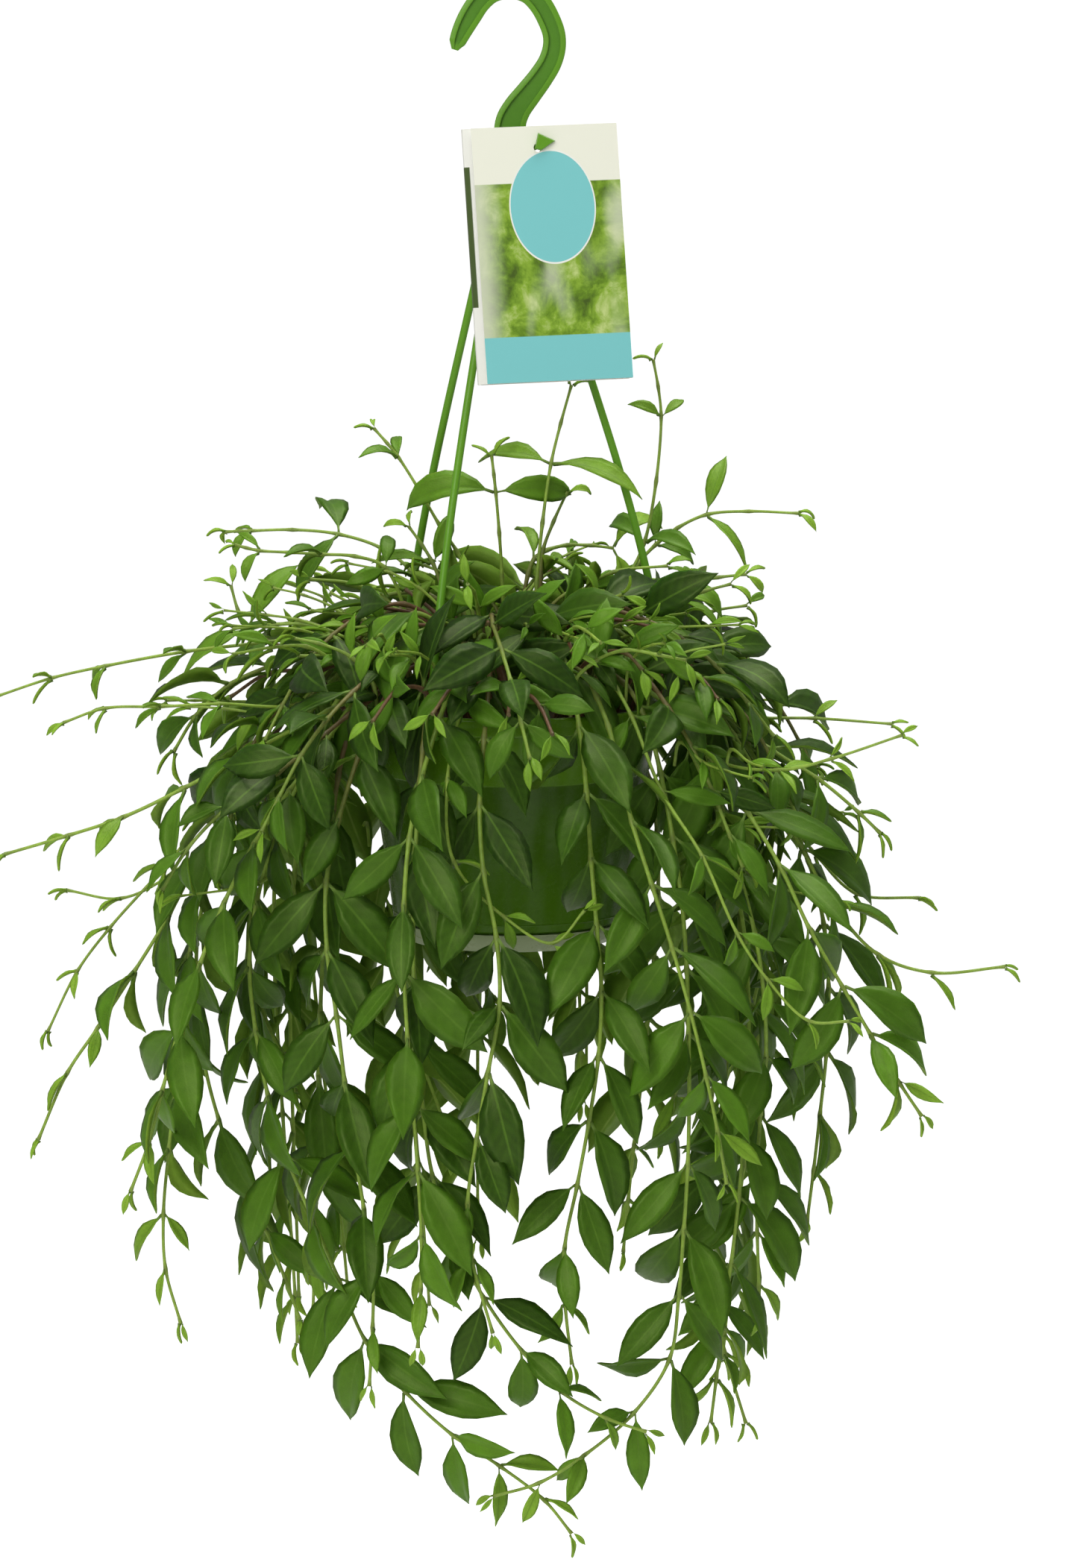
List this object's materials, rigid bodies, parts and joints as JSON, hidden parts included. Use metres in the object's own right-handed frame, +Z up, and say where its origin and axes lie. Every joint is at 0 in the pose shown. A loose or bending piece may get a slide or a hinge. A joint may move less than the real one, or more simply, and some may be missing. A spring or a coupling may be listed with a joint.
{
  "type": "hanging house plant",
  "caption": "Trailing codonanthe with opposite fleshy leaves in a round plastic hanging pot with a clip-on saucer, rod arms, a moulded hook and a folded card.",
  "frame": {"origin": "the hook's bearing point, where the underside of its top arc sits on a peg", "axes": "+Z up; +Y towards the back, so the card faces -Y; +X to the right of someone looking at the card"},
  "size_m": [0.5023, 0.3184, 0.7605],
  "materials": {
    "hanger_plastic": "satin moulded",
    "pot_plastic": "smooth, translucent",
    "saucer_plastic": "frosted, translucent",
    "potting_soil": "crumbly, matte",
    "card": "printed, satin",
    "plant": "living leaf, satin"
  },
  "bodies": {
    "root": {"hanger_hook": "hanger_plastic", "arm_right": "hanger_plastic", "arm_front_left": "hanger_plastic", "arm_back_left": "hanger_plastic", "pot": "pot_plastic", "drip_saucer": "saucer_plastic", "soil": "potting_soil", "tag_card": "card", "tag_tie": "hanger_plastic", "vine_01": "plant", "vine_02": "plant", "vine_03": "plant", "vine_04": "plant", "vine_05": "plant", "vine_06": "plant", "vine_07": "plant", "vine_08": "plant", "vine_09": "plant", "vine_10": "plant", "vine_11": "plant", "vine_12": "plant", "vine_13": "plant", "vine_14": "plant", "vine_15": "plant", "vine_16": "plant", "vine_17": "plant", "vine_18": "plant", "vine_19": "plant", "vine_20": "plant", "vine_21": "plant", "vine_22": "plant", "vine_23": "plant", "vine_24": "plant", "vine_25": "plant", "vine_26": "plant", "vine_27": "plant", "vine_28": "plant", "vine_29": "plant", "vine_30": "plant", "vine_31": "plant", "vine_32": "plant", "vine_33": "plant", "vine_34": "plant", "vine_35": "plant", "vine_36": "plant", "vine_37": "plant", "vine_38": "plant", "vine_39": "plant", "vine_40": "plant", "vine_41": "plant", "vine_42": "plant", "vine_43": "plant", "vine_44": "plant", "vine_45": "plant", "vine_46": "plant", "vine_47": "plant", "vine_48": "plant", "vine_49": "plant", "vine_50": "plant", "vine_51": "plant"}
  },
  "joints": []
}
